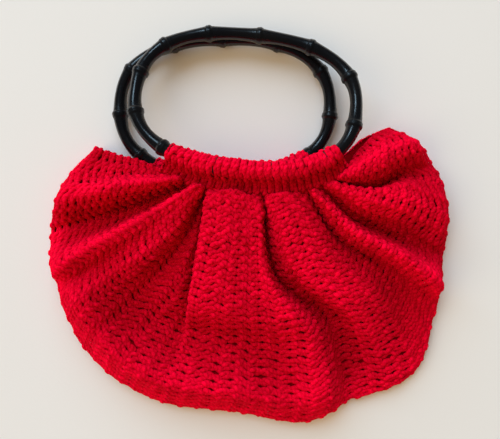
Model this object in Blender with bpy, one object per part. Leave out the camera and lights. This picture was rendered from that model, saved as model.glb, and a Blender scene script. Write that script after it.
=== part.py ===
"""A soft handbag lying on its back, seen as it rests on a table.

Two oval ring handles of bamboo shape lie one over the other. The lower bar of each ring runs through a
knitted sleeve, and below each sleeve hangs a short yoke. The hollow body is gathered into the two yokes and
fans out from them in deep pleats to a soft rounded hem. The mouth between the yokes and the slits that run
from them to the two ears are open.
"""
import bpy
import numpy as np

# Sizes of the whole body, in metres
BODY_WIDE = 0.353  # between the two sides of the hem
BODY_LONG = 0.260  # from the lowest point of the hem to the tip of the right ear
BODY_FOOT = -0.1736  # where the lowest point of the hem lies on the y axis
BODY_MIDDLE = -0.0003  # where the middle of the hem lies on the x axis
FOLD_HIGH = 0.046  # the highest pleat, above the table
HEM_HIGH = 0.006  # the outermost line of the hem, above the table
WALL = 0.004  # the knitted cloth
HOLLOW_LEAST = 0.0025  # the least gap left between the front wall and the back wall
FIT = 0.0003  # the gap between two parts that touch

# Ring handles
RING_LONG = 0.093  # half of the long side, on the middle line of the tube
RING_SHORT = 0.061
RING_SQUARE = 2.42  # exponent of the oval: 2 is an ellipse, and more is squarer
TUBE_RADIUS = 0.0054
SHANK_RADIUS = 0.0052  # half way between two knuckles
KNUCKLE_RADIUS = 0.0063
KNUCKLE_HALF = 0.0014  # half of the width of a knuckle's ridge
KNUCKLE_SKIRT = 0.0042  # where the swelling beside a knuckle ends
TUBE_SIDES = 12

# Sleeves and yokes
BORE_RADIUS = 0.0071
SLEEVE_RADIUS = 0.0093
YOKE_REACH = 0.019  # from the ring's middle line out to the yoke's lower edge
YOKE_THICK = 0.0038
TUCK = 0.004  # how far the body's top edge runs in behind the yoke
SLEEVE_STATIONS = 18

# Where each ring lies. across: its middle, as a share of BODY_WIDE. up: its middle, as a share of BODY_LONG
# above BODY_FOOT. high: its middle above the table. turned: about the vertical axis. tilted: the far side
# lower than the bar. knuckles: shares of the way round from the lowest point of the bar, towards +x first.
RINGS = {
    "front": dict(
        across=-0.0079, up=1.0793, high=0.0320, turned=-6.7, tilted=12.3, sleeve_from=-0.061, sleeve_to=0.087,
        knuckles=(0.060, 0.145, 0.226, 0.314, 0.400, 0.490, 0.577, 0.655, 0.720, 0.793, 0.873, 0.965),
    ),
    "back": dict(
        across=-0.0595, up=1.0750, high=0.0079, turned=0.8, tilted=1.3, sleeve_from=-0.064, sleeve_to=0.076,
        knuckles=(0.075, 0.153, 0.232, 0.314, 0.405, 0.503, 0.590, 0.678, 0.760, 0.843, 0.925, 0.998),
    ),
}

# The lines of the pleats, from the left slit round to the right slit.
# on_yoke: share of the yoke's length. hem_x: share of BODY_WIDE. hem_y: share of BODY_LONG above BODY_FOOT.
# bow_a, bow_b: sideways bow at one third and at two thirds of the line, as shares of the line's length.
# top, middle, low: height just below the yoke, half way down and near the hem, as shares of FOLD_HIGH.
FOLD_COLUMNS = ("on_yoke", "hem_x", "hem_y", "bow_a", "bow_b", "top", "middle", "low")
FOLDS = {
    "left slit": (0.010, -0.375, 0.935, -0.030, 0.000, 0.68, 0.58, 0.46),
    "left ear dip": (0.055, -0.451, 0.832, -0.020, 0.010, 0.62, 0.47, 0.38),
    "left ear": (0.107, -0.478, 0.760, -0.010, 0.000, 0.87, 0.91, 0.74),
    "left valley": (0.157, -0.496, 0.669, 0.045, 0.035, 0.56, 0.37, 0.34),
    "left fold": (0.210, -0.496, 0.553, 0.010, 0.010, 0.91, 0.96, 0.83),
    "left swell": (0.232, -0.476, 0.438, 0.100, 0.080, 0.74, 0.72, 0.74),
    "lower left valley": (0.247, -0.421, 0.251, 0.063, 0.075, 0.56, 0.38, 0.45),
    "lower left fold": (0.263, -0.331, 0.146, 0.055, 0.083, 0.78, 0.70, 0.66),
    "crease": (0.277, -0.246, 0.085, 0.033, 0.062, 0.70, 0.57, 0.56),
    "panel left edge": (0.296, -0.176, 0.058, 0.000, 0.005, 0.96, 0.87, 0.72),
    "panel": (0.410, -0.031, 0.037, -0.016, -0.035, 1.00, 0.93, 0.76),
    "panel right": (0.496, 0.121, 0.000, -0.047, -0.050, 1.00, 0.91, 0.74),
    "panel ridge": (0.543, 0.194, 0.034, -0.080, -0.005, 0.98, 0.93, 0.83),
    "deep valley": (0.568, 0.249, 0.078, -0.115, 0.000, 0.46, 0.35, 0.38),
    "right fold rise": (0.597, 0.333, 0.112, -0.071, -0.011, 0.94, 0.91, 0.78),
    "right fold": (0.676, 0.426, 0.200, -0.035, -0.004, 1.00, 1.00, 0.87),
    "right fold fall": (0.743, 0.461, 0.343, -0.080, -0.014, 0.92, 0.91, 0.78),
    "rope groove": (0.771, 0.476, 0.411, -0.088, -0.017, 0.54, 0.46, 0.48),
    "rope": (0.798, 0.479, 0.463, -0.056, -0.005, 0.98, 1.00, 0.91),
    "right valley": (0.839, 0.488, 0.567, -0.078, -0.053, 0.50, 0.38, 0.36),
    "side fold": (0.876, 0.498, 0.710, -0.025, 0.037, 0.90, 0.91, 0.74),
    "right ear valley": (0.911, 0.481, 0.821, -0.018, 0.084, 0.56, 0.46, 0.42),
    "right ear": (0.955, 0.448, 0.916, 0.095, 0.130, 0.90, 0.96, 0.72),
    "right slit": (1.006, 0.350, 1.002, 0.052, 0.056, 0.76, 0.65, 0.50),
}
SLIT_STAND = 0.10  # the hem's line lies higher towards the slits: this much of FOLD_HIGH
COLUMNS_PER_FOLD = 2
FRONT_ROWS = (0, 0.03, 0.065, 0.11, 0.17, 0.24, 0.32, 0.40, 0.48, 0.56, 0.64, 0.71, 0.77, 0.82, 0.865, 0.905,
              0.94, 0.967, 0.988)
BACK_ROWS = (1, 0.985, 0.955, 0.90, 0.80, 0.65, 0.48, 0.32, 0.18, 0.08, 0)
HEM_ROUND = 0.12  # share of each front line over which it rounds down to the hem
HEM_UNDER = 0.045  # the same on the underside
GATHERS = 13  # small gathers below the back yoke
GATHER_HIGH = 0.0032
HEM_ROLL = 0.09  # depth of the dip above the turned-up roll along the lower left hem, share of FOLD_HIGH

YARN = ("red yarn", (0.62, 0.004, 0.022, 1), 0.85)
RESIN = ("black resin", (0.008, 0.008, 0.009, 1), 0.18)


def clear_scene():
    for thing in list(bpy.data.objects):
        bpy.data.objects.remove(thing, do_unlink=True)


def material(name, colour, roughness):
    made = bpy.data.materials.get(name) or bpy.data.materials.new(name)
    made.use_nodes = True
    shader = made.node_tree.nodes["Principled BSDF"]
    shader.inputs["Base Color"].default_value = colour
    shader.inputs["Roughness"].default_value = roughness
    return made


def add_part(name, points, faces, look):
    mesh = bpy.data.meshes.new(name)
    mesh.from_pydata([tuple(point) for point in points.tolist()], [], faces)
    mesh.materials.append(material(*look))
    bpy.context.scene.collection.objects.link(bpy.data.objects.new(name, mesh))


def smooth_through(knots, values, at):
    """A smooth curve through values at knots that never swings past them. It works down the first axis."""
    step = np.diff(knots)[:, None]
    rise = np.diff(values, axis=0) / step
    slope = np.zeros_like(values)
    same_way = rise[:-1] * rise[1:] > 0
    total = np.where(same_way, rise[:-1] + rise[1:], 1)
    slope[1:-1] = np.where(same_way, 2 * rise[:-1] * rise[1:] / total, 0)
    slope[0], slope[-1] = rise[0], rise[-1]
    span = np.clip(np.searchsorted(knots, at, side="right") - 1, 0, len(knots) - 2)
    wide = step[span]
    part = ((at - knots[span]) / wide[:, 0])[:, None]
    blend = part * part * (3 - 2 * part)
    return (
        values[span] * (1 - blend)
        + values[span + 1] * blend
        + wide * part * (1 - part) * (slope[span] * (1 - part) - slope[span + 1] * part)
    )


def ring_path(ring, along):
    """Points of the ring's middle line, its direction and its plane, at lengths along it from its lowest point."""
    angle = np.linspace(-np.pi / 2, 1.5 * np.pi, 4001)
    across, up = np.cos(angle), np.sin(angle)
    flat = np.stack([
        RING_LONG * np.sign(across) * np.abs(across) ** (2 / RING_SQUARE),
        RING_SHORT * np.sign(up) * np.abs(up) ** (2 / RING_SQUARE),
    ], axis=1)
    length = np.concatenate([[0], np.cumsum(np.linalg.norm(np.diff(flat, axis=0), axis=1))])
    turned, tilted = np.radians(ring["turned"]), np.radians(ring["tilted"])
    normal = np.array([0, np.sin(tilted), np.cos(tilted)])
    middle = np.array([ring["across"] * BODY_WIDE, BODY_FOOT + ring["up"] * BODY_LONG, ring["high"]])

    def place(lengths):
        lengths = np.mod(lengths, length[-1])
        x, y = (np.interp(lengths, length, flat[:, axis]) for axis in (0, 1))
        x, y = x * np.cos(turned) - y * np.sin(turned), x * np.sin(turned) + y * np.cos(turned)
        return np.stack([x, y * np.cos(tilted), -y * np.sin(tilted)], axis=1) + middle

    along = np.asarray(along, float)
    ahead = place(along + FIT) - place(along - FIT)
    ahead /= np.linalg.norm(ahead, axis=1)[:, None]
    return place(along), ahead, normal, length[-1]


def outward(ahead):
    """Level direction away from the middle of the ring."""
    away = np.stack([ahead[:, 1], -ahead[:, 0], 0 * ahead[:, 0]], axis=1)
    return away / np.linalg.norm(away, axis=1)[:, None]


def tube_faces(stations, sides):
    """Quads between each ring of points and the next, the last one joined to the first."""
    faces = []
    for i in range(stations):
        j = (i + 1) % stations
        for k in range(sides):
            m = (k + 1) % sides
            faces.append((i * sides + k, j * sides + k, j * sides + m, i * sides + m))
    return faces


def add_handle(name, ring):
    _, _, _, length = ring_path(ring, [0])
    knuckles = np.array(ring["knuckles"]) * length
    after = np.append(knuckles[1:], knuckles[0] + length)
    offsets = np.stack([
        knuckles - KNUCKLE_SKIRT, knuckles - KNUCKLE_HALF, knuckles + KNUCKLE_HALF, knuckles + KNUCKLE_SKIRT,
        (knuckles * 2 + after) / 3, (knuckles + after * 2) / 3,
    ], axis=1)
    radii = np.array([TUBE_RADIUS, KNUCKLE_RADIUS, KNUCKLE_RADIUS, TUBE_RADIUS, SHANK_RADIUS, SHANK_RADIUS])
    along, radius = offsets.ravel(), np.tile(radii, len(knuckles))
    middle, ahead, normal, _ = ring_path(ring, along)
    side = np.cross(ahead, normal)
    turn = np.linspace(0, 2 * np.pi, TUBE_SIDES, endpoint=False)[None, :, None]
    points = middle[:, None] + radius[:, None, None] * (
        np.cos(turn) * side[:, None] + np.sin(turn) * normal[None, None]
    )
    add_part(name, points.reshape(-1, 3), tube_faces(len(along), TUBE_SIDES), RESIN)


def add_band(name, ring):
    """A sleeve round the bar and the yoke that hangs from it, as one piece with a bore through it."""
    along = np.linspace(ring["sleeve_from"], ring["sleeve_to"], SLEEVE_STATIONS)
    middle, ahead, _, _ = ring_path(ring, along)
    away = outward(ahead)
    round_angles = np.radians([-8, 24, 56, 90, 124, 156, 188, 220, 246])
    yoke_low, yoke_top = -SLEEVE_RADIUS, -SLEEVE_RADIUS + YOKE_THICK
    outline = np.array(
        [(SLEEVE_RADIUS * np.cos(a), SLEEVE_RADIUS * np.sin(a)) for a in round_angles]
        + [(0.003, yoke_low), (0.011, yoke_low), (YOKE_REACH, yoke_low + 0.0008), (YOKE_REACH, yoke_top),
           (0.0108, yoke_top)]
    )
    bore_angles = np.radians([-8, 24, 56, 90, 124, 156, 188, 216, 242, 262, 282, 304, 322, 338])
    bore = BORE_RADIUS * np.stack([np.cos(bore_angles), np.sin(bore_angles)], axis=1)
    up = np.array([0, 0, 1.0])
    sides, stations = len(outline), len(along)
    shells = [
        (middle[:, None] + loop[None, :, :1] * away[:, None] + loop[None, :, 1:] * up).reshape(-1, 3)
        for loop in (outline, bore)
    ]
    faces = []
    inner = stations * sides
    for k in range(sides):
        m = (k + 1) % sides
        for i in range(stations - 1):
            a, b = i * sides, (i + 1) * sides
            faces.append((a + k, b + k, b + m, a + m))
            faces.append((inner + a + k, inner + a + m, inner + b + m, inner + b + k))
        last = (stations - 1) * sides
        faces.append((k, m, inner + m, inner + k))
        faces.append((last + k, inner + last + k, inner + last + m, last + m))
    points = np.concatenate(shells)
    points[:, 2] = np.maximum(points[:, 2], 0)  # the soft sleeve lies flat on the table
    add_part(name, points, faces, YARN)


def pleat_table():
    """The columns of FOLDS, and their values on every line of the mesh: each fold and the lines between."""
    table = np.array(list(FOLDS.values()))
    folds = np.arange(len(table), dtype=float)
    lines = np.linspace(0, len(table) - 1, (len(table) - 1) * COLUMNS_PER_FOLD + 1)
    smooth = smooth_through(folds, table, lines)
    # Heights swing between crest and valley along a cosine.
    low = np.clip(lines.astype(int), 0, len(table) - 2)
    part = (1 - np.cos(np.pi * (lines - low))) / 2
    swing = table[low] * (1 - part)[:, None] + table[low + 1] * part[:, None]
    smooth[:, 5:] = swing[:, 5:]
    return dict(zip(FOLD_COLUMNS, smooth.T)), lines / lines[-1]


def yoke_edge(ring, on_yoke, reach):
    along = ring["sleeve_from"] + on_yoke * (ring["sleeve_to"] - ring["sleeve_from"])
    middle, ahead, _, _ = ring_path(ring, along)
    return middle + outward(ahead) * reach


def pleat_lines(start, finish, bow_a, bow_b, at):
    """Plan points down every line, at shares of its length. The answer has one row for each share."""
    chord = finish - start
    side = np.stack([-chord[:, 1], chord[:, 0]], axis=1)
    zero = np.zeros_like(bow_a)
    bow = smooth_through(np.array([0, 1 / 3, 2 / 3, 1]), np.stack([zero, bow_a, bow_b, zero]), at)
    return start[None] + at[:, None, None] * chord[None] + bow[:, :, None] * side[None]


def front_heights(fold, start_high, hem_high, across, at):
    """Height of the outer face of the front at shares of each line: rows by lines."""
    knots = np.array([0, 0.10, 0.5, 0.85, 1])
    crest = FOLD_HIGH * np.stack([fold["top"], fold["middle"], fold["low"], 0.96 * fold["low"]])
    high = smooth_through(knots, np.concatenate([start_high[None], crest]), at)
    # The lower left hem turns up into a soft roll with a dip above it.
    roll = np.exp(-(((across - 0.36) / 0.10) ** 2))
    dip = np.exp(-(((at - 0.74) / 0.055) ** 2)) - 0.8 * np.exp(-(((at - 0.87) / 0.05) ** 2))
    high -= HEM_ROLL * FOLD_HIGH * dip[:, None] * roll[None]
    round_off = np.clip((at - 1 + HEM_ROUND) / HEM_ROUND, 0, 1)[:, None]
    return hem_high + (high - hem_high) * np.sqrt(1 - round_off**2)


def slopes(plan, high):
    """How steep the face is across the lines, at each point."""
    run = np.linalg.norm(np.diff(plan, axis=1), axis=2)
    rise = np.abs(np.diff(high, axis=1)) / np.maximum(run, FIT)
    rise = np.concatenate([rise[:, :1], rise, rise[:, -1:]], axis=1)
    return np.minimum(np.maximum(rise[:, 1:], rise[:, :-1]), 2.5)


def add_body():
    fold, across = pleat_table()
    front, back = RINGS["front"], RINGS["back"]
    hem = np.stack([BODY_MIDDLE + fold["hem_x"] * BODY_WIDE, BODY_FOOT + fold["hem_y"] * BODY_LONG], axis=1)
    front_top = yoke_edge(front, fold["on_yoke"], YOKE_REACH + 3 * FIT)
    front_tuck = yoke_edge(front, fold["on_yoke"], YOKE_REACH - TUCK)
    back_top = yoke_edge(back, fold["on_yoke"], YOKE_REACH + 4 * FIT)
    back_tuck = yoke_edge(back, fold["on_yoke"], YOKE_REACH - TUCK)
    tuck_high = front_top[:, 2] - SLEEVE_RADIUS - FIT
    length = np.linalg.norm(hem - front_top[:, :2], axis=1)
    ear = np.exp(-((across / 0.05) ** 2)) + np.exp(-(((1 - across) / 0.05) ** 2))
    hem_high = HEM_HIGH + SLIT_STAND * FOLD_HIGH * ear
    flat = np.zeros_like(across)
    back_bow = 0.05 * np.clip((across - 0.93) / 0.07, 0, 1) ** 2
    inset = 1 - 1.25 * WALL / length  # the inner layer's hem lies this share of the way down

    def front_layer(inner):
        at = np.array(FRONT_ROWS)
        plan = pleat_lines(front_top[:, :2], hem, fold["bow_a"], fold["bow_b"], at)
        high = front_heights(fold, tuck_high, hem_high, across, at)
        high[0] = tuck_high
        if inner:
            drop = WALL * np.sqrt(1 + slopes(plan, high) ** 2)
            drop[0] = WALL
            shrink = at[:, None] * inset[None]
            plan = front_top[None, :, :2] + (plan - front_top[None, :, :2]) * (
                shrink / np.maximum(at[:, None], 1e-9) * (at[:, None] > 0)
            )[:, :, None]
            closing = np.clip((1 - at) / 0.08, 0, 1)[:, None]
            least = back_face(at, inner=True)[1] + HOLLOW_LEAST * closing + FIT
            high = np.maximum(high - drop, least)
        tuck_z = tuck_high - (WALL if inner else 0)
        tucked = np.column_stack([front_tuck[:, :2], tuck_z])
        return np.concatenate([tucked[None], np.concatenate([plan, high[:, :, None]], axis=2)])

    def back_face(at, inner):
        plan = pleat_lines(back_top[:, :2], hem, flat, back_bow, at)
        gather = (1 - np.cos(2 * np.pi * GATHERS * across)) / 2
        fade = np.clip(1 - at / 0.55, 0, 1)[:, None] ** 1.5
        lift = GATHER_HIGH * gather[None] * fade
        under = np.clip((at - 1 + HEM_UNDER) / HEM_UNDER, 0, 1)[:, None]
        high = lift + hem_high[None] * (1 - np.sqrt(1 - under**2))
        yoke_lift = np.clip(1 - at / 0.06, 0, 1)[:, None]
        high = np.maximum(high, (YOKE_THICK + 2 * FIT) * yoke_lift)
        if inner:
            high = high + WALL
            meet = np.clip((at - 0.90) / 0.10, 0, 1)[:, None] ** 2
            high = high * (1 - meet) + (hem_high[None] + 0.25 * WALL) * meet
        return plan, high

    def back_layer(inner):
        at = np.array(BACK_ROWS)
        plan, high = back_face(at, inner)
        if inner:
            plan = back_top[None, :, :2] + (plan - back_top[None, :, :2]) * inset[None, :, None]
        tuck_z = flat + YOKE_THICK + 2 * FIT + (WALL if inner else 0)
        tucked = np.column_stack([back_tuck[:, :2], tuck_z])
        return np.concatenate([np.concatenate([plan, high[:, :, None]], axis=2), tucked[None]])

    outer = np.concatenate([front_layer(False), back_layer(False)])
    inner = np.concatenate([front_layer(True), back_layer(True)])
    rows, lines = outer.shape[:2]
    count = rows * lines
    faces = []
    for i in range(rows - 1):
        for j in range(lines - 1):
            a, b = i * lines + j, (i + 1) * lines + j
            faces.append((a, b, b + 1, a + 1))
            faces.append((count + a, count + a + 1, count + b + 1, count + b))
    for i in range(rows - 1):
        a, b = i * lines, (i + 1) * lines
        faces.append((a, count + a, count + b, b))
        a, b = a + lines - 1, b + lines - 1
        faces.append((a, b, count + b, count + a))
    for j in range(lines - 1):
        faces.append((j, j + 1, count + j + 1, count + j))
        a = (rows - 1) * lines + j
        faces.append((a, count + a, count + a + 1, a + 1))
    points = np.concatenate([outer.reshape(-1, 3), inner.reshape(-1, 3)])
    add_part("bag_body", points, faces, YARN)


clear_scene()
add_handle("front_handle", RINGS["front"])
add_handle("back_handle", RINGS["back"])
add_band("front_band", RINGS["front"])
add_band("back_band", RINGS["back"])
add_body()
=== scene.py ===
import bpy
import numpy as np
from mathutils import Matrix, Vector


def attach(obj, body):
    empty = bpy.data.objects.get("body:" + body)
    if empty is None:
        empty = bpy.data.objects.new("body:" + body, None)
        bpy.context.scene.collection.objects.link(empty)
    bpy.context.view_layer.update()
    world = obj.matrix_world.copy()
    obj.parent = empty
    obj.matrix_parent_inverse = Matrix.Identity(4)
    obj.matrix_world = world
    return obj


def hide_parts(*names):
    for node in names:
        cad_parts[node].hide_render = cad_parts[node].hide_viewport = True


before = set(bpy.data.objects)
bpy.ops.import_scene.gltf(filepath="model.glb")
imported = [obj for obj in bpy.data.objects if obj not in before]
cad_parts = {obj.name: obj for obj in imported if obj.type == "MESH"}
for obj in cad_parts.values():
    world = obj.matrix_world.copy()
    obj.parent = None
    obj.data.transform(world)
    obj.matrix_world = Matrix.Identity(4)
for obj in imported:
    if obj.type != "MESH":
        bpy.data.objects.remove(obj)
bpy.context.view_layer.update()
rng = np.random.default_rng(11)


# Camera

view = {"place": (0.0010, 0.0065, 0.450), "lens": 35.8, "sensor": 36.0, "near": 0.01, "far": 20.0}


def addCamera():
    data = bpy.data.cameras.new("camera")
    data.lens, data.sensor_width = view["lens"], view["sensor"]
    data.clip_start, data.clip_end = view["near"], view["far"]
    data.dof.use_dof = False
    camera = bpy.data.objects.new("camera", data)
    camera.location = view["place"]  # unturned, so it looks straight down
    bpy.context.scene.collection.objects.link(camera)
    bpy.context.scene.camera = camera
    print("camera at", view["place"])


# Shader helpers

# A node's output that takes part in ordinary arithmetic. Each sum adds its own Math node.
class Wire:
    def __init__(self, tree, socket):
        self.tree, self.socket = tree, socket

    def math(self, operation, *values):
        node = self.tree.nodes.new("ShaderNodeMath")
        node.operation = operation
        for slot, value in zip(node.inputs, values):
            plug(self.tree, value, slot)
        return Wire(self.tree, node.outputs[0])

    def __add__(self, other): return self.math("ADD", self, other)
    def __radd__(self, other): return self.math("ADD", other, self)
    def __sub__(self, other): return self.math("SUBTRACT", self, other)
    def __rsub__(self, other): return self.math("SUBTRACT", other, self)
    def __mul__(self, other): return self.math("MULTIPLY", self, other)
    def __rmul__(self, other): return self.math("MULTIPLY", other, self)
    def __pow__(self, other): return self.math("POWER", self, other)
    def __rpow__(self, other): return self.math("POWER", other, self)
    def sin(self): return self.math("SINE", self)
    def clamp(self): return self.math("MINIMUM", self.math("MAXIMUM", self, 0), 1)


def plug(tree, value, slot):
    if isinstance(value, Wire):
        tree.links.new(value.socket, slot)
    else:
        slot.default_value = value


# The node tree of a material or of the sky.
class Look:
    def __init__(self, owner):
        owner.use_nodes = True
        self.owner, self.tree = owner, owner.node_tree

    def node(self, kind, settings=None, sockets=None):
        made = self.tree.nodes.new("ShaderNode" + kind)
        for key, value in (settings or {}).items():
            setattr(made, key, value)
        for key, value in (sockets or {}).items():
            plug(self.tree, value, made.inputs[key])
        return made

    def out(self, node, name=0):
        return Wire(self.tree, node.outputs[name])

    def objectPlace(self):
        return self.out(self.node("TexCoord"), "Object")

    def attribute(self, name):
        return self.out(self.node("Attribute", {"attribute_name": name}), "Fac")

    def noise(self, place, scale, detail, rough):
        sockets = {"Vector": place, "Scale": scale, "Detail": detail, "Roughness": rough}
        return self.out(self.node("TexNoise", None, sockets), "Fac")

    def mix(self, amount, first, second):
        return self.out(self.node("Mix", {"data_type": "RGBA"}, {0: amount, 6: first, 7: second}), 2)

    def bump(self, height, distance, strength, below=None):
        sockets = {"Height": height, "Distance": distance, "Strength": strength}
        if below is not None:
            sockets["Normal"] = below
        return self.out(self.node("Bump", None, sockets))

    def surface(self, sockets):
        shader = self.tree.nodes["Principled BSDF"]
        for key, value in sockets.items():
            plug(self.tree, value, shader.inputs[key])
        print("material", self.owner.name)
        return self.owner


# Mesh helpers

# points: n by 3. faces: m by 4. uv: one pair for each face corner. shade: one number for each point.
def addMesh(name, points, faces, material, uv=None, shade=None, smooth=True):
    mesh = bpy.data.meshes.new(name)
    mesh.vertices.add(len(points))
    mesh.vertices.foreach_set("co", np.ascontiguousarray(points, np.float32).ravel())
    mesh.loops.add(faces.size)
    mesh.loops.foreach_set("vertex_index", faces.ravel().astype(np.int32))
    mesh.polygons.add(len(faces))
    mesh.polygons.foreach_set("loop_start", np.arange(0, faces.size, 4, dtype=np.int32))
    mesh.update(calc_edges=True)
    if smooth:
        mesh.polygons.foreach_set("use_smooth", np.ones(len(faces), bool))
    if uv is not None:
        layer = mesh.uv_layers.new(name="yarn")
        layer.uv.foreach_set("vector", np.ascontiguousarray(uv, np.float32).ravel())
    if shade is not None:
        layer = mesh.attributes.new("shade", "FLOAT", "POINT")
        layer.data.foreach_set("value", np.ascontiguousarray(shade, np.float32))
    mesh.materials.append(material)
    mesh.validate()
    made = bpy.data.objects.new(name, mesh)
    bpy.context.scene.collection.objects.link(made)
    return made


# Quads between neighbours of a grid of points. closed: the last column joins the first.
def gridFaces(rows, columns, closed=False):
    i = np.arange(rows - 1)[:, None] * columns
    j = np.arange(columns if closed else columns - 1)[None]
    k = (j + 1) % columns
    return np.stack([i + j, i + k, i + columns + k, i + columns + j], axis=-1).reshape(-1, 4)


# Each vector over its own length.
def unit(vectors):
    return vectors / np.maximum(np.linalg.norm(vectors, axis=-1, keepdims=True), 1e-12)


# One at the centre, falling off as e to the minus of the distance over the width, to the power.
def bell(at, centre, wide, power=2):
    return np.exp(-(((at - centre) / wide) ** power))


# Nought before the start, one a length beyond it, and straight between them.
def ramp(at, start, length):
    return np.clip((at - start) / length, 0, 1)


# A cubic through values at knots, down the first axis. Its slope at a knot is the harmonic mean of the slopes
# on both sides, or nought at a peak, so it never swings past the values.
def smoothThrough(knots, values, at):
    step = np.diff(knots)[:, None]
    rise = np.diff(values, axis=0) / step
    slope = np.zeros_like(values)
    sameWay = rise[:-1] * rise[1:] > 0
    total = np.where(sameWay, rise[:-1] + rise[1:], 1)
    slope[1:-1] = np.where(sameWay, 2 * rise[:-1] * rise[1:] / total, 0)
    slope[0], slope[-1] = rise[0], rise[-1]
    span = np.clip(np.searchsorted(knots, at, side="right") - 1, 0, len(knots) - 2)
    wide = step[span]
    part = ((at - knots[span]) / wide[:, 0])[:, None]
    blend = part * part * (3 - 2 * part)
    bend = wide * part * (1 - part) * (slope[span] * (1 - part) - slope[span + 1] * part)
    return values[span] * (1 - blend) + values[span + 1] * blend + bend


# Length walked down a grid's rows, one column of lengths for each column of points.
def walked(grid):
    steps = np.linalg.norm(np.diff(grid, axis=0), axis=-1)
    return np.concatenate([np.zeros((1, *steps.shape[1:])), np.cumsum(steps, axis=0)])


# The cross product of a grid's two directions, turned to the side that outward points to at one slice.
def normalsOf(grid, where, outward):
    normals = unit(np.cross(np.gradient(grid, axis=0), np.gradient(grid, axis=1)))
    return normals if (normals[where] * outward).sum() >= 0 else -normals


# Blend of the four grid points round each place. row and column are fractional indices.
def sample(grid, row, column):
    row = np.clip(row, 0, grid.shape[0] - 1.001)
    column = np.clip(column, 0, grid.shape[1] - 1.001)
    i, j = row.astype(int), column.astype(int)
    a, b = (row - i)[..., None], (column - j)[..., None]
    first = grid[i, j] * (1 - a) + grid[i + 1, j] * a
    second = grid[i, j + 1] * (1 - a) + grid[i + 1, j + 1] * a
    return first * (1 - b) + second * b


# Rows of the grid moved so that each column is walked evenly by its own length.
def evenLength(grid, count):
    length = walked(grid)
    wanted = np.linspace(0, 1, count)
    rows = np.arange(len(grid))
    moved = [np.interp(wanted * length[-1, k], length[:, k], rows) for k in range(grid.shape[1])]
    moved = np.stack(moved, axis=1)
    return sample(grid, moved, np.arange(grid.shape[1])[None] + 0 * moved), length[-1]


# Ring handles

ringForm = {
    "long": 0.093, "short": 0.061, "square": 2.42,  # half sizes and power of the oval
    "tube": 0.0057, "shank": 0.0055, "waist": 0.0003, "waistLong": 0.021,
    "knuckle": 0.0072, "ridge": 0.0025, "swell": 0.0006, "skirt": 0.0052,
    "groove": 0.0003, "grooves": ((0.0008, 0.0006, 1.0), (-0.0030, 0.0005, 0.5)),  # at, wide, deep
    "stations": 900, "sides": 28,
    # turned and tilted are degrees, sleeve is a length along the ring, knuckles are shares of its length
    "front": {
        "middle": (-0.0028, 0.1070, 0.0320), "turned": -6.7, "tilted": 12.3, "sleeve": (-0.0585, 0.087),
        "knuckles": (0.060, 0.145, 0.226, 0.314, 0.400, 0.490, 0.577, 0.655, 0.720, 0.793, 0.873, 0.965),
    },
    "back": {
        "middle": (-0.0210, 0.1059, 0.0087), "turned": 0.8, "tilted": 1.3, "sleeve": (-0.064, 0.076),
        "knuckles": (0.075, 0.153, 0.232, 0.314, 0.405, 0.503, 0.590, 0.678, 0.760, 0.843, 0.925, 0.998),
    },
}


# The middle line is a superellipse walked by its own length, turned, tilted and moved to its place. It gives
# the places, the directions ahead, the ring's normal and its whole length.
def ringPath(ring, along):
    angle = np.linspace(-np.pi / 2, 1.5 * np.pi, 6001)
    across, up = np.cos(angle), np.sin(angle)
    power = 2 / ringForm["square"]
    flat = np.stack([
        ringForm["long"] * np.sign(across) * np.abs(across) ** power,
        ringForm["short"] * np.sign(up) * np.abs(up) ** power,
    ], axis=1)
    length = walked(flat)
    turned, tilted = np.radians(ring["turned"]), np.radians(ring["tilted"])
    normal = np.array([0, np.sin(tilted), np.cos(tilted)])

    def place(lengths):
        lengths = np.mod(lengths, length[-1])
        x, y = (np.interp(lengths, length, flat[:, axis]) for axis in (0, 1))
        x, y = x * np.cos(turned) - y * np.sin(turned), x * np.sin(turned) + y * np.cos(turned)
        return np.stack([x, y * np.cos(tilted), -y * np.sin(tilted)], axis=-1) + ring["middle"]

    along, step = np.asarray(along, float), 0.0006
    return place(along), unit(place(along + step) - place(along - step)), normal, length[-1]


# The tube is thickest at the knuckles, with a ridge that has fine grooves, and thinnest between them. A place
# is the middle line plus the radius times the cosine of the turn to the side and the sine along the normal.
def addRing(name, ring, node, material):
    count, sides = ringForm["stations"], ringForm["sides"]
    length = ringPath(ring, [0])[3]
    along = np.arange(count) / count * length
    knuckles = np.array(ring["knuckles"]) * length
    away = (along[:, None] - knuckles[None] + length / 2) % length - length / 2
    near = np.abs(away)
    nearest = near.min(axis=1)
    skew = away[np.arange(count), near.argmin(axis=1)]
    swell = bell(nearest, 0, ringForm["skirt"])
    ridge = bell(nearest, 0, ringForm["ridge"], 4)
    groove = sum(deep * bell(skew, at, wide) for at, wide, deep in ringForm["grooves"])
    radius = ringForm["shank"] + ringForm["waist"] * np.cos(np.pi * ramp(nearest, 0, ringForm["waistLong"]))
    radius += ringForm["swell"] * swell - ringForm["groove"] * groove
    radius += (ringForm["knuckle"] - ringForm["tube"] - ringForm["swell"]) * ridge
    middle, ahead, normal, _ = ringPath(ring, along)
    side = np.cross(ahead, normal)
    turn = np.linspace(0, 2 * np.pi, sides, endpoint=False)[None, :, None]
    points = middle[:, None] + radius[:, None, None] * (np.cos(turn) * side[:, None] + np.sin(turn) * normal)
    faces = gridFaces(count + 1, sides, closed=True) % (count * sides)
    made = addMesh(name, points.reshape(-1, 3), faces, material, shade=np.repeat(swell, sides))
    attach(made, "root")
    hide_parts(node)
    print("ring", name, 2 * len(faces), "triangles")


# The surface of the pleated body

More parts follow.
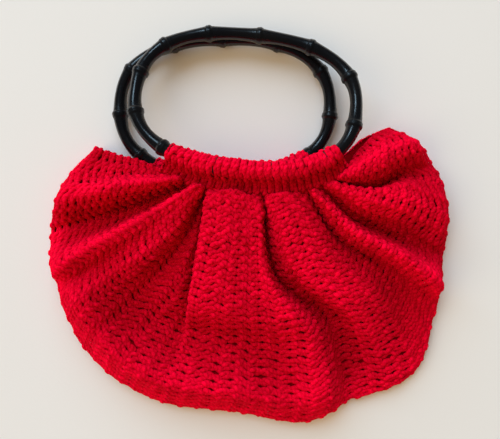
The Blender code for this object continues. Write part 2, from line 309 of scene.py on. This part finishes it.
body = {
    "wide": 0.353, "long": 0.260, "foot": -0.1736, "middle": -0.0003, "perFold": 10,
    "foldHigh": 0.046, "foldAt": (0, 0.06, 0.5, 0.85, 1), "endHigh": 0.96, "crease": 0.5,
    "hemHigh": 0.006, "hemRound": 0.145, "hemUnder": 0.045, "slitStand": 0.10, "slitWide": 0.05,
    "hemSag": 0.48, "sagAt": (0.65, 0.09), "hemRise": 0.32, "riseAt": (0.865, 0.072), "rollAt": (0.38, 0.13),
    "gap": 0.0003, "sleeveRadius": 0.0093, "yokeReach": 0.019, "yokeThick": 0.0038, "yokeTuck": 0.002,
    "gathers": 13, "gatherHigh": 0.0032, "gatherLong": 0.55, "backTuck": 0.06, "backBow": (0.05, 0.93, 0.07),
    "lift": 0.0012, "liftFrom": 6, "liftOver": 14,
    # share of the yoke, hem x and y, bow above and below the middle, height at the top, middle and hem
    "folds": (
        (0.010, -0.381, 0.935, -0.030, 0.000, 0.68, 0.58, 0.46),
        (0.055, -0.451, 0.832, -0.020, 0.010, 0.70, 0.66, 0.54),
        (0.112, -0.478, 0.760, -0.004, 0.000, 0.94, 0.95, 0.74),
        (0.150, -0.497, 0.660, 0.020, 0.020, 0.46, 0.28, 0.24),
        (0.178, -0.499, 0.600, 0.030, 0.025, 0.56, 0.42, 0.36),
        (0.203, -0.489, 0.520, 0.020, 0.012, 0.97, 1.00, 0.82),
        (0.219, -0.477, 0.470, 0.055, 0.045, 0.92, 0.78, 0.54),
        (0.235, -0.466, 0.410, 0.088, 0.074, 0.80, 0.84, 0.68),
        (0.243, -0.421, 0.271, 0.074, 0.076, 0.46, 0.46, 0.42),
        (0.250, -0.331, 0.146, 0.055, 0.080, 0.52, 0.50, 0.46),
        (0.256, -0.246, 0.085, 0.030, 0.058, 0.38, 0.34, 0.44),
        (0.264, -0.186, 0.060, 0.006, 0.005, 0.94, 0.84, 0.48),
        (0.395, -0.031, 0.037, -0.016, -0.035, 1.00, 0.88, 0.48),
        (0.480, 0.121, 0.000, -0.036, -0.040, 0.98, 0.82, 0.42),
        (0.526, 0.200, 0.034, -0.066, 0.012, 1.00, 0.95, 0.66),
        (0.552, 0.257, 0.075, -0.090, 0.044, 0.60, 0.38, 0.18),
        (0.568, 0.307, 0.095, -0.080, 0.036, 0.90, 0.50, 0.22),
        (0.596, 0.367, 0.124, -0.055, 0.016, 0.98, 0.84, 0.32),
        (0.670, 0.436, 0.205, -0.035, 0.006, 0.96, 0.80, 0.24),
        (0.738, 0.463, 0.340, -0.076, -0.010, 0.84, 0.60, 0.26),
        (0.768, 0.473, 0.405, -0.086, -0.017, 0.64, 0.48, 0.36),
        (0.798, 0.477, 0.463, -0.056, -0.005, 0.96, 1.00, 0.88),
        (0.839, 0.488, 0.567, -0.078, -0.053, 0.62, 0.34, 0.36),
        (0.870, 0.498, 0.700, -0.045, 0.017, 0.92, 0.90, 0.66),
        (0.888, 0.486, 0.805, -0.055, -0.010, 0.90, 0.88, 0.60),
        (0.902, 0.460, 0.880, -0.150, -0.050, 0.46, 0.44, 0.40),
        (0.930, 0.416, 0.948, -0.020, 0.020, 0.96, 1.02, 0.82),
        (1.020, 0.350, 1.002, 0.120, 0.110, 0.76, 0.65, 0.50),
    ),
    # how far each fold bulges back over the yoke, and where along it the bulge lies
    "shoulders": (0.3, 0.4, 0.8, 0.4, 0.3, 0.8, 0.9, 0.6, 0.1, -0.1, -0.3, 0.0, 0.85, 0.55,
                  -0.1, -0.5, 0.3, 0.7, 0.8, 0.5, -0.2, 0.6, -0.2, 0.5, 0.3, -0.2, 0.7, 0.3),
    "bulge": 0.0140, "bulgeAt": 0.0125, "bulgeLong": 0.0062,
}


# Values of the fold table on every line. Places run smoothly. Heights rise from the lower fold to the higher
# one as the mean of a cosine swing and a quarter sine, so a valley is narrower than a crest.
def pleatTable():
    table, crease = np.array(body["folds"]), body["crease"]
    last = len(table) - 1
    lines = np.linspace(0, last, last * body["perFold"] + 1)
    values = smoothThrough(np.arange(last + 1.0), table, lines)
    low = np.clip(lines.astype(int), 0, last - 1)
    first, second = table[low][:, 5:], table[low + 1][:, 5:]
    part = (lines - low)[:, None]
    upward = np.where(second > first, part, 1 - part)
    swing = (1 - crease) * (1 - np.cos(np.pi * upward)) / 2 + crease * np.sin(np.pi * upward / 2)
    values[:, 5:] = np.minimum(first, second) + np.abs(second - first) * swing
    shoulder = smoothThrough(np.arange(last + 1.0), np.array(body["shoulders"])[:, None], lines)[:, 0]
    return values.T, shoulder, lines / last


# Directions in the table's plane, square to the ring and away from its middle.
def awayFrom(ahead):
    return unit(np.stack([ahead[:, 1], -ahead[:, 0], 0 * ahead[:, 0]], axis=1))


# Where the folds start, under the yoke: the ring's middle line, moved away from the ring.
def yokeEdge(ring, share):
    start, end = ring["sleeve"]
    middle, ahead, _, _ = ringPath(ring, start + share * (end - start))
    return middle + awayFrom(ahead) * (body["yokeReach"] - body["yokeTuck"])


# A line in plan is its chord from the yoke to the hem, plus its bow times the chord turned by a quarter.
def plan(start, hem, bowUp, bowDown, at):
    chord = hem - start
    side = np.stack([-chord[:, 1], chord[:, 0]], axis=1)
    flat = np.zeros_like(bowUp)
    bow = smoothThrough(np.array([0, 1 / 3, 2 / 3, 1]), np.stack([flat, bowUp, bowDown, flat]), at)
    return start[None] + at[:, None, None] * chord[None] + bow[:, :, None] * side[None]


# Outer face of the body, rows by lines: the front from the yoke to the hem, then the back to its yoke. The
# front's height runs smoothly through the table's, sags and rises in two bands across, and ends as a quarter
# of an ellipse at the hem. The back is flat but for its gathers, a cosine across that fades from the yoke.
def bodySurface(frontAt, backAt, bulge):
    (share, hemX, hemY, bowA, bowB, top, middle, low), shoulder, across = pleatTable()
    hem = np.stack([body["middle"] + hemX * body["wide"], body["foot"] + hemY * body["long"]], axis=1)
    frontTop, backTop = yokeEdge(ringForm["front"], share), yokeEdge(ringForm["back"], share)
    slits = bell(across, 0, body["slitWide"]) + bell(1 - across, 0, body["slitWide"])
    hemHigh = body["hemHigh"] + body["slitStand"] * body["foldHigh"] * slits

    tuckHigh = frontTop[:, 2] - body["sleeveRadius"] - body["gap"]
    crest = body["foldHigh"] * np.stack([top, middle, low, body["endHigh"] * low])
    high = smoothThrough(np.array(body["foldAt"]), np.concatenate([tuckHigh[None], crest]), frontAt)
    roll = bell(across, *body["rollAt"], 4)
    sag = bell(frontAt, *body["sagAt"])[:, None] * roll
    rise = bell(frontAt, *body["riseAt"])[:, None] * roll
    high = high - body["hemSag"] * sag * (high - hemHigh) + body["hemRise"] * body["foldHigh"] * rise
    rounding = ramp(frontAt, 1 - body["hemRound"], body["hemRound"])[:, None]
    high = hemHigh + (high - hemHigh) * np.sqrt(1 - rounding**2)
    chord = hem - frontTop[:, :2]
    long = np.linalg.norm(chord, axis=1)
    swell = bulge * shoulder * bell(frontAt[:, None] * long, body["bulgeAt"], body["bulgeLong"])
    front = plan(frontTop[:, :2], hem, bowA, bowB, frontAt) - swell[..., None] * (chord / long[:, None])

    bowDeep, bowFrom, bowOver = body["backBow"]
    bow = bowDeep * ramp(across, bowFrom, bowOver) ** 2
    gather = (1 - np.cos(2 * np.pi * body["gathers"] * across)) / 2
    fade = (1 - ramp(backAt, 0, body["gatherLong"]))[:, None]
    under = ramp(backAt, 1 - body["hemUnder"], body["hemUnder"])[:, None]
    backHigh = body["gatherHigh"] * gather * fade**1.5 + hemHigh * (1 - np.sqrt(1 - under**2))
    tuck = (1 - ramp(backAt, 0, body["backTuck"]))[:, None]
    backHigh = np.maximum(backHigh, (body["yokeThick"] + 2 * body["gap"]) * tuck)
    back = plan(backTop[:, :2], hem, 0 * bow, bow, backAt)
    return np.concatenate([np.dstack([front, high]), np.dstack([back, backHigh])[1:]])


# Yarn

stitch = {
    "pitch": 0.0074, "row": 0.0121, "yarn": 0.00215, "chain": 0.00172, "chainLoose": 0.05, "waist": 0.25,
    "sides": 6, "oval": (1.15, 0.95), "sink": 0.0010, "ground": 0.0030, "groundThick": 0.0012,
    "keepEven": 0.25, "evenFrom": 0.3, "evenOver": 9, "perRow": 5, "stations": 420, "pieces": 4,
    "wander": ((0.05, 3.1, 2.4), (0.03, 1.3, 5.1)), "unevenHigh": 0.00025, "unevenThick": 0.06,
    "slim": 0.62, "leaf": 0.42, "lean": 0.34, "apart": 0.25, "hole": 0.135,
    "barHigh": 0.0004, "barSwing": 0.0002, "chainLean": 0.46, "chainReach": 0.23, "chainHigh": 0.0016,
    "wrapLean": 0.22, "wrapHigh": 0.0003,
    "edge": {"inset": 0.0014, "radius": 0.0020, "within": 0.004, "pitch": 0.0062, "yarn": 0.0016},
}
# painted shade: how strands are darkened low among the others and in the valleys, and their random tone
shadow = {"across": 22, "down": 26, "level": 0.42, "deep": 0.018, "paintedCavityShade": 0.0044, "uneven": 0.06}


# Columns of the grid moved so that they lie evenly by length across the cloth at every row. How close they
# lie is a mean of each row's own steps and those of one row, smoothed down the cloth.
def evenRows(grid, count):
    steps = np.linalg.norm(np.diff(grid, axis=1), axis=2)
    mean = steps[int(len(grid) * stitch["evenFrom"])]
    keep, over = stitch["keepEven"], stitch["evenOver"]
    density = (steps / steps.sum(axis=1, keepdims=True)) ** (1 - keep) * (mean / mean.sum()) ** keep
    padded = np.pad(density, ((over // 2, over // 2), (0, 0)), mode="edge")
    kernel = np.ones(over) / over
    smoothed = [np.convolve(padded[:, k], kernel, "valid") for k in range(density.shape[1])]
    length = np.concatenate([np.zeros((len(grid), 1)), np.cumsum(np.stack(smoothed, axis=1), axis=1)], axis=1)
    length /= length[:, -1:]
    wanted, columns = np.linspace(0, 1, count), np.arange(grid.shape[1])
    moved = np.stack([np.interp(wanted, length[k], columns) for k in range(len(grid))])
    return sample(grid, np.arange(len(grid))[:, None] + 0 * moved, moved)


# Round strands. paths and normals: strands by stations by 3. radius: strands by stations. A place on a strand
# is its centre plus the radius times the cosine of the turn to the side and the sine upwards. In the UV map u
# is the length along the strand in millimetres and v is the share of the way round.
def tubes(paths, normals, radius):
    sides, (wide, tall) = stitch["sides"], stitch["oval"]
    strands, stations, _ = paths.shape
    ahead = unit(np.gradient(paths, axis=1))
    side = unit(np.cross(ahead, normals))
    over = np.cross(side, ahead)
    turn = np.linspace(0, 2 * np.pi, sides, endpoint=False)[None, None, :, None]
    ring = wide * np.cos(turn) * side[:, :, None] + tall * np.sin(turn) * over[:, :, None]
    points = paths[:, :, None] + radius[:, :, None, None] * ring
    rise = radius[:, :, None] * tall * np.sin(turn[..., 0])
    one = gridFaces(stations, sides, closed=True)
    faces = (one[None] + (np.arange(strands) * stations * sides)[:, None, None]).reshape(-1, 4)
    along = 1000 * walked(paths.swapaxes(0, 1)).T
    shape = (strands, stations - 1, sides)
    u0, u1 = np.broadcast_to(along[:, :-1, None], shape), np.broadcast_to(along[:, 1:, None], shape)
    v0 = np.broadcast_to(np.arange(sides) / sides, shape)
    v1 = v0 + 1 / sides
    uv = np.stack([np.stack(pair, -1) for pair in ((u0, v0), (u0, v1), (u1, v1), (u1, v0))], axis=3)
    return points.reshape(-1, 3), faces, uv.reshape(-1, 2), rise


# One strand for every stitch of a cloth. shape(q, odd) gives, for stations q from 0 to 1, the place across
# the row, the place along the row in stitches and the height above the cloth in metres. Each strand is moved,
# turned and thickened a little by chance. It has slim ends, and may have a waist beside the hole.
def strandSet(cloth, rowCount, pitch, shape, radius, stations, loose=0.04, waist=0.0):
    grid, normals, lengths, paintedBroadShade = cloth
    fine = (grid.shape[1] - 1) / rowCount
    perRow = np.interp((np.arange(rowCount) + 0.5) * fine, np.arange(len(lengths)), lengths)
    counts = np.maximum(np.round(perRow / pitch).astype(int), 2)
    row = np.repeat(np.arange(rowCount), counts + 1)
    number = np.concatenate([np.arange(c + 1) for c in counts]) - 0.5
    total = np.repeat(counts, counts + 1)
    phase = ((row * 0.37 + 0.21) % 1) - 0.5  # the rows start at different parts of a stitch
    keep = np.abs(number + phase + 0.5 - total / 2) < total / 2 - 0.1
    row, number, total, phase = row[keep], number[keep], total[keep], phase[keep]
    q = np.linspace(0, 1, stations)[None]
    across, along, high = shape(q, (row % 2)[:, None])
    wander = sum(far * np.sin(number / each + row * step) for far, each, step in stitch["wander"])
    count = (len(row), 1)
    across = across + wander[:, None] + rng.normal(0, 0.5 * loose, count)
    along = along + phase[:, None] + rng.normal(0, loose, count)
    along = along + rng.normal(0, 0.7 * loose, count) * (2 * q - 1)
    f = np.clip((number[:, None] + along) / total[:, None], 0, 1) * (grid.shape[0] - 1)
    r = np.clip((row[:, None] + across) * fine, 0, grid.shape[1] - 1)
    points, up = sample(grid, f, r), unit(sample(normals, f, r))
    high = high + rng.normal(0, stitch["unevenHigh"], count)
    leaf = np.sin(np.pi * np.clip(0.10 + 0.80 * q, 0, 1)) ** 0.7
    thick = stitch["slim"] + stitch["leaf"] * leaf - waist * np.sin(np.pi * q) ** 8
    thick = radius * (1 + rng.normal(0, stitch["unevenThick"], count)) * thick
    points = points + (high - stitch["sink"])[..., None] * up
    return points, up, thick, high, sample(paintedBroadShade[..., None], f, r)[..., 0]


# Turns sets of strands into a few joined meshes. Nothing reaches below the table. The shade of a point is
# painted shade: it grows with its height above the cloth, is less in the valleys and on the yoke, and differs
# a little between strands by chance.
def joinStrands(name, sets, material, pieces=1):
    made = []
    for k in range(pieces):
        allPoints, allFaces, allUv, allShade, offset = [], [], [], [], 0
        for paths, up, thick, high, paintedBroadShade in sets:
            part = np.array_split(np.arange(len(paths)), pieces)[k]
            points, faces, uv, rise = tubes(paths[part], up[part], thick[part])
            points[:, 2] = np.maximum(points[:, 2], 0.0)
            # painted shade: each strand is darker the lower its surface lies above the cloth
            paintedCavityShade = ramp(high[part][:, :, None] + rise, -0.0020, shadow["paintedCavityShade"])
            # painted shade: darker in the valleys of the body and on the yoke of the bands
            shade = (0.55 + 0.45 * paintedCavityShade) * (0.50 + 0.50 * paintedBroadShade[part][:, :, None])
            shade = shade + rng.normal(0, shadow["uneven"], (len(part), 1, 1))
            allPoints.append(points)
            allFaces.append(faces + offset)
            allUv.append(uv)
            allShade.append(np.clip(shade, 0, 1).ravel())
            offset += len(points)
        label = name if pieces == 1 else f"{name}_{k + 1}"
        points, faces, uv, shade = (np.concatenate(part) for part in (allPoints, allFaces, allUv, allShade))
        piece = addMesh(label, points, faces, material, uv, shade)
        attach(piece, "root")
        made.append(piece)
        print("yarn", label, 2 * len(faces), "triangles")
    return made


# A bar across the row, slanted one way on odd rows and the other way on even ones. The two bars of a stitch
# touch, and bend apart from the next stitch in the middle of the row, which leaves a small hole.
def barShape(side):
    def shape(q, odd):
        lean = np.where(odd == 1, stitch["lean"], -stitch["lean"]) * (q - 0.5)
        along = 0.5 + side * (stitch["apart"] - stitch["hole"] * np.sin(np.pi * q) ** 7) + lean
        across = -0.03 + 1.06 * q + 0 * odd
        high = (stitch["barHigh"] - stitch["barSwing"] * side) * np.sin(np.pi * q) ** 0.7 - 0.0005 + 0 * odd
        return across, along, high
    return shape


# A short loop across the ends of the bars, against their slant, where one row is worked into the next.
def chainShape(q, odd):
    lean = stitch["chainLean"]
    across = stitch["chainReach"] * (2 * q - 1) + 0.01
    along = 0.45 + np.where(odd == 1, lean, -lean) * (q - 0.5)
    high = stitch["chainHigh"] * np.sin(np.pi * q) - 0.0004 + 0 * odd
    return across, along, high


# A bar carried round the edge of the cloth, a little slanted and a little raised in its middle.
def wrapShape(side):
    def shape(q, odd):
        across = -0.01 + 1.02 * q + 0 * odd
        along = 0.5 + side * stitch["apart"] + stitch["wrapLean"] * (q - 0.5) + 0 * odd
        high = stitch["wrapHigh"] * np.sin(np.pi * q) + 0 * odd
        return across, along, high
    return shape


# The two bars of every stitch, then the chain over their ends.
def stitchSets(cloth, rowCount, form, chainLoose, waist):
    sets = []
    for side in (-1, 1):
        sets.append(strandSet(cloth, rowCount, form["pitch"], barShape(side), form["yarn"], 9, 0.04, waist))
    return sets + [strandSet(cloth, rowCount, form["pitch"], chainShape, form["chain"], 6, chainLoose)]


# Bars wrapped over an edge. They lie on a half tube: the edge line drawn in and sunk by the radius, plus the
# radius times the cosine of the turn outwards and the sine upwards.
def edgeSets(line, outward, up, edge):
    turn = np.radians(np.linspace(100, -105, 17))[None, :, None]
    centre = (line - edge["inset"] * outward - edge["radius"] * up)[:, None]
    strip = centre + edge["radius"] * (np.cos(turn) * outward[:, None] + np.sin(turn) * up[:, None])
    grid, lengths = evenLength(strip, 2 * len(strip))
    inside = (line - edge["within"] * outward)[:, None].repeat(2, axis=1)
    inside = sample(inside, np.linspace(0, len(line) - 1, len(grid)), np.zeros(len(grid)))
    half = np.s_[:, grid.shape[1] // 2]
    normals = normalsOf(grid, half, grid[half] - inside)
    cloth = [grid, normals, lengths, np.ones(grid.shape[:2])]
    return [strandSet(cloth, 1, edge["pitch"], wrapShape(side), edge["yarn"], 7) for side in (-1, 1)]


# Mean over a band of places on either side, down one axis. The ends are held on beyond the edges.
def boxMean(values, wide, axis):
    values = np.moveaxis(values, axis, 0)
    padded = [values[:1].repeat(wide + 1, axis=0), values, values[-1:].repeat(wide, axis=0)]
    total = np.cumsum(np.concatenate(padded), axis=0)
    return np.moveaxis((total[2 * wide + 1:] - total[:-2 * wide - 1]) / (2 * wide + 1), 0, axis)


# How high each place of the front lies against the mean height of its surroundings, which sets the painted
# shade that darkens the valleys. The back is all one.
def paintedValleyShadeOf(cloth):
    high = cloth[:, :, 2]
    mean = boxMean(boxMean(high, shadow["across"], 1), shadow["down"], 0)
    front = 1 - ramp(np.arange(len(high)), len(high) * 0.45, len(high) * 0.05)[:, None]
    return 1 - front * (1 - np.clip(shadow["level"] + (high - mean) / shadow["deep"], 0, 1))


# The body's stitches in rows along the pleats, its two side edges, and the closed cloth below them.
def addBody(yarn, base):
    frontAt = [np.linspace(0, 0.14, 29), np.linspace(0.15, 0.85, 71), np.linspace(0.86, 1, 36)]
    backAt = [np.linspace(1, 0.93, 16), np.linspace(0.92, 0, 70)]
    frontAt, backAt = np.concatenate(frontAt), np.concatenate(backAt)
    grid, under = (bodySurface(frontAt, backAt, bulge) for bulge in (body["bulge"], 0.0))
    # the underside is raised so that its stitches rest on the table
    raised = ramp(np.arange(len(grid)), len(frontAt) - body["liftFrom"], body["liftOver"])[:, None]
    for surface in (grid, under):
        surface[:, :, 2] += (body["lift"] + stitch["sink"]) * raised
    arc = walked(grid[int(len(frontAt) * 0.62)])[-1]
    rowCount = int(round(arc / stitch["row"]))
    print("body", rowCount, "rows over", round(arc, 4))
    cloth, lengths = evenLength(evenRows(grid, rowCount * stitch["perRow"] + 1), stitch["stations"])
    normals = normalsOf(cloth, 100, (0, 0, 1))
    # the last entry is the painted shade of the valleys
    whole = [cloth, normals, lengths, paintedValleyShadeOf(cloth)]
    sets = stitchSets(whole, rowCount, stitch, stitch["chainLoose"], stitch["waist"])
    for column, inner in ((0, 1), (-1, -2)):
        line, up = cloth[:, column], normals[:, column]
        outward = line - cloth[:, inner]
        outward = unit(outward - (outward * up).sum(axis=1, keepdims=True) * up)
        sets += edgeSets(line, outward, up, stitch["edge"])
    pieces = joinStrands("body_yarn", sets, yarn, stitch["pieces"])
    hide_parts("bag_body")
    addShell(under, base)


# The closed cloth below the stitches: the outer face sunk a little, an inner face a wall below it, and four
# strips round their edges.
def addShell(grid, material):
    up = normalsOf(grid, 40, (0, 0, 1))[::2, ::2]
    outer = grid[::2, ::2] - stitch["ground"] * up
    inner = outer - stitch["groundThick"] * up
    rows, lines = outer.shape[:2]
    count = rows * lines
    one = gridFaces(rows, lines)
    other = one[:, ::-1] + count
    i, j = np.arange(rows - 1), np.arange(lines - 1)
    left = np.stack([i * lines, i * lines + count, (i + 1) * lines + count, (i + 1) * lines], axis=1)
    right = left[:, ::-1] + lines - 1
    top = np.stack([j, j + 1, j + 1 + count, j + count], axis=1)
    bottom = top[:, ::-1] + (rows - 1) * lines
    points = np.concatenate([outer.reshape(-1, 3), inner.reshape(-1, 3)])
    points[:, 2] = np.maximum(points[:, 2], 0.0008)  # it stays just above the table
    faces = np.concatenate([one, other, left, right, top, bottom])
    made = addMesh("body_cloth", points, faces, material)
    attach(made, "root")
    print("cloth body_cloth", 2 * len(faces), "triangles")


# Sleeves and yokes

band = {
    "pitch": 0.0062, "yarn": 0.00178, "chain": 0.00165, "rows": 5, "perRow": 9, "tighter": 0.0014,
    "turns": (0.0, 117.0, 224.0), "round": (-14, 262), "stations": 260, "taper": 0.18, "taperLong": 0.008,
    "foot": 0.0128, "ground": 0.0012, "shadeFrom": 13, "shadeOver": 10,
    "edge": {"inset": 0.0008, "radius": 0.0013, "within": 0.003, "pitch": 0.0052, "yarn": 0.0013},
}


# Cross-section walked from the yoke's lower face round its tip, over the yoke and round the sleeve, and
# carried along the ring. A row of stitches ends at the tip, at the foot of the sleeve, and twice on the way
# round it. The sleeve narrows towards its two ends.
def bandGrid(ring):
    start, end = ring["sleeve"]
    along = np.linspace(start, end, 240)
    middle, ahead, _, _ = ringPath(ring, along)
    away = awayFrom(ahead)
    reach, thick, low = body["yokeReach"], body["yokeThick"], -body["sleeveRadius"]
    radius = body["sleeveRadius"] - band["tighter"]
    yoke = np.array([
        (0.004, 0), (reach - 0.003, 0), (reach - 0.0006, 0.0006), (reach - 0.0002, thick * 0.55),
        (reach - 0.0016, thick), (band["foot"], thick + 0.0002), (0.0104, thick + 0.0012),
    ]) + (0, low)
    angles = np.radians(np.linspace(*band["round"], 47))
    profile = np.concatenate([yoke, radius * np.stack([np.cos(angles), np.sin(angles)], axis=1)])
    length = walked(profile)
    turnAt = [length[6] + np.radians(turn - band["round"][0]) * radius for turn in band["turns"]]
    breaks = [0, length[3], *turnAt, length[-1]]
    even = [np.linspace(a, b, band["perRow"])[:-1] for a, b in zip(breaks, breaks[1:])]
    even = np.concatenate(even + [[length[-1]]])
    section = np.stack([np.interp(even, length, profile[:, k]) for k in (0, 1)], axis=1)
    fromEnd = np.minimum(along - start, end - along)[:, None, None]
    onSleeve = np.clip((band["foot"] - section[None, :, :1]) / 0.004, 0, 1)
    section = section * (1 - band["taper"] * onSleeve * bell(fromEnd, 0, band["taperLong"]))
    return middle[:, None] + section[:, :, :1] * away[:, None] + section[:, :, 1:] * np.array([0, 0, 1.0])


# A sleeve with its yoke: its stitches, its two end edges and the plain cloth below them.
def addBand(name, ring, node, yarn, base):
    cloth, lengths = evenLength(bandGrid(ring), band["stations"])
    centre = ringPath(ring, np.linspace(*ring["sleeve"], band["stations"]))[0]
    normals = normalsOf(cloth, np.s_[:, 30], cloth[:, 30] - centre)
    # painted shade: the stitches of the yoke and the foot of the sleeve are darker, fading out up the sleeve
    shaded = ramp(np.arange(cloth.shape[1]), band["shadeFrom"], band["shadeOver"]) * np.ones((len(cloth), 1))
    sets = stitchSets([cloth, normals, lengths, shaded], band["rows"], band, 0.04, 0.0)
    for end, inner in ((0, 1), (-1, -2)):
        sets += edgeSets(cloth[end], unit(cloth[end] - cloth[inner]), normals[end], band["edge"])
    pieces = joinStrands(name, sets, yarn)
    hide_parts(node)
    sunk = cloth[::4] - band["ground"] * normals[::4]
    under = addMesh(name + "_cloth", sunk.reshape(-1, 3), gridFaces(*sunk.shape[:2]), base)
    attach(under, "root")
    print("band", name)


# Materials

wool = {
    "dark": (0.36, 0.0003, 0.005, 1), "bright": (1.0, 0.0010, 0.034, 1), "contrast": 1.9,
    "plyAlong": 1.75, "plyRound": 12.566, "plyDeep": 0.00045, "fuzzDeep": 0.00060,
    "sheen": 0.20, "sheenTint": (1.0, 0.01, 0.06, 1),
}
# painted shade: the ground below the stitches is darker than the yarn, so the holes read as shade
ground = {"dark": (0.18, 0.0002, 0.002, 1), "bright": (0.36, 0.0004, 0.005, 1), "deep": 0.0006}
resin = {
    "black": (0.0035, 0.0035, 0.0042, 1), "warm": (0.012, 0.009, 0.007, 1),
    "rough": 0.17, "roughGrain": 0.14, "roughKnuckle": 0.12, "deep": 0.00022, "coat": 0.15,
}
table = {
    "dark": (0.765, 0.778, 0.778, 1), "bright": (0.805, 0.822, 0.822, 1), "deep": 0.0002,
    "half": 1.6, "cells": 8, "below": 0.0002,
}


# Twisted plies as a sine of the place along and round the strand, with fuzz. The colour is painted
# brighter on the ply crests and darker in their grooves as painted shade, and takes the painted shade of
# the shade attribute, with random patches.
def yarnLook():
    look = Look(bpy.data.materials.new("red_wool_yarn"))
    uv = look.out(look.node("UVMap", {"uv_map": "yarn"}))
    parts = look.node("SeparateXYZ", None, {"Vector": uv})
    u, v = look.out(parts, "X"), look.out(parts, "Y")
    place = look.objectPlace()
    ply = ((u * wool["plyAlong"] + v * wool["plyRound"]).sin() * 0.5 + 0.5) ** 0.6
    fibre = look.noise(place, 2600.0, 2.0, 0.6)
    fuzz = look.noise(place, 950.0, 2.0, 0.6)
    patch = look.noise(place, 38.0, 2.0, 0.5)
    # painted shade from the shade attribute and the ply grooves, with random patches and fuzz
    tone = look.attribute("shade") * 0.92 + (patch - 0.5) * 0.35 + (ply - 0.6) * 0.12 + (fuzz - 0.5) * 0.40
    colour = look.mix(tone.clamp() ** wool["contrast"], wool["dark"], wool["bright"])
    fine = look.bump(fibre * 0.4 + fuzz, wool["fuzzDeep"], 0.7)
    return look.surface({
        "Base Color": colour, "Roughness": 0.85, "Normal": look.bump(ply, wool["plyDeep"], 0.8, fine),
        "Specular IOR Level": 0.02, "Sheen Weight": wool["sheen"], "Sheen Roughness": 0.5,
        "Sheen Tint": wool["sheenTint"],
    })


# Wool with a fine grain, painted darker than the yarn as painted shade in the holes between the stitches.
def clothLook():
    look = Look(bpy.data.materials.new("red_wool_painted_shade_ground"))
    fibre = look.noise(look.objectPlace(), 900.0, 3.0, 0.6)
    return look.surface({
        "Base Color": look.mix(fibre, ground["dark"], ground["bright"]), "Roughness": 0.95,
        "Normal": look.bump(fibre, ground["deep"], 0.8), "Specular IOR Level": 0.05,
    })


# Glossy black, warmer in blotches and duller on the knuckles, with a shallow grain under a thin coat.
def resinLook():
    look = Look(bpy.data.materials.new("black_bamboo_resin"))
    place = look.objectPlace()
    grain = look.noise(place, 240.0, 4.0, 0.6)
    blotch = look.noise(place, 30.0, 2.0, 0.5)
    warm = ((blotch - 0.45) * 2.2).clamp() * 0.5
    rough = resin["rough"] + grain * resin["roughGrain"] + look.attribute("shade") * resin["roughKnuckle"]
    uneven = grain * 0.6 + look.noise(place, 90.0, 2.0, 0.5)
    return look.surface({
        "Base Color": look.mix(warm, resin["black"], resin["warm"]), "Roughness": rough,
        "Normal": look.bump(uneven, resin["deep"], 0.5), "Specular IOR Level": 0.45,
        "Coat Weight": resin["coat"], "Coat Roughness": 0.07,
    })


# Pale and dull, with a soft mottle and a fine grain.
def tableLook():
    look = Look(bpy.data.materials.new("pale_table"))
    place = look.objectPlace()
    mottle = look.noise(place, 3.0, 3.0, 0.5)
    grain = look.noise(place, 420.0, 3.0, 0.6)
    return look.surface({
        "Base Color": look.mix(mottle * 0.6 + grain * 0.15, table["dark"], table["bright"]), "Roughness": 0.6,
        "Normal": look.bump(grain, table["deep"], 0.3), "Specular IOR Level": 0.2,
    })


# Table and light

light = {
    "sky": (0.455, 0.32, 0.175, 1), "skyInGloss": (0.045, 0.055, 0.068, 1), "backdrop": (0.78, 0.77, 0.74, 1),
    # turn and rise are degrees, from +X about the table's upright axis and above the table
    "window": {"turn": 112, "rise": 31, "away": 9.0, "size": 12.0,
               "power": 1680.0, "colour": (0.50, 0.675, 0.85)},
    "side": {"turn": 196, "rise": 38, "away": 8.0, "size": 6.5,
             "power": 230.0, "colour": (1.0, 0.76, 0.50)},
    "glint": {"turn": 118, "rise": 44, "away": 9.0, "size": 2.4,
              "power": 150.0, "colour": (0.55, 0.80, 1.0)},
}


# A round lamp that points at the middle of the table.
def addLamp(name):
    settings = light[name]
    data = bpy.data.lights.new(name, "AREA")
    data.shape, data.size = "DISK", settings["size"]
    data.energy, data.color = settings["power"], settings["colour"]
    made = bpy.data.objects.new(name, data)
    turn, rise = np.radians(settings["turn"]), np.radians(settings["rise"])
    toward = Vector((np.cos(rise) * np.cos(turn), np.cos(rise) * np.sin(turn), np.sin(rise)))
    made.location = settings["away"] * toward
    made.rotation_euler = (-toward).to_track_quat("-Z", "Y").to_euler()
    bpy.context.scene.collection.objects.link(made)
    return made


def addStage():
    line = np.linspace(-table["half"], table["half"], table["cells"] + 1)
    x, y = np.meshgrid(line, line)
    points = np.stack([x, y, 0 * x - table["below"]], axis=-1).reshape(-1, 3)
    top = addMesh("table", points, gridFaces(len(line), len(line)), tableLook(), smooth=False)
    sky = Look(bpy.data.worlds.new("sky"))
    bpy.context.scene.world = sky.owner
    ray = sky.node("LightPath")
    near = sky.mix(sky.out(ray, "Is Glossy Ray"), light["sky"], light["skyInGloss"])
    far = sky.mix(sky.out(ray, "Is Camera Ray"), near, light["backdrop"])
    plug(sky.tree, far, sky.tree.nodes["Background"].inputs[0])
    addLamp("window").visible_glossy = False
    addLamp("side").visible_glossy = False
    addLamp("glint").visible_diffuse = False
    bpy.context.scene.view_settings.view_transform = "Standard"
    print("table, sky and three lamps")


# Making

addCamera()
addStage()
resinMaterial, yarnMaterial, groundMaterial = resinLook(), yarnLook(), clothLook()
addRing("front_ring", ringForm["front"], "front_handle", resinMaterial)
addRing("back_ring", ringForm["back"], "back_handle", resinMaterial)
addBody(yarnMaterial, groundMaterial)
addBand("front_sleeve", ringForm["front"], "front_band", yarnMaterial, groundMaterial)
addBand("back_sleeve", ringForm["back"], "back_band", yarnMaterial, groundMaterial)
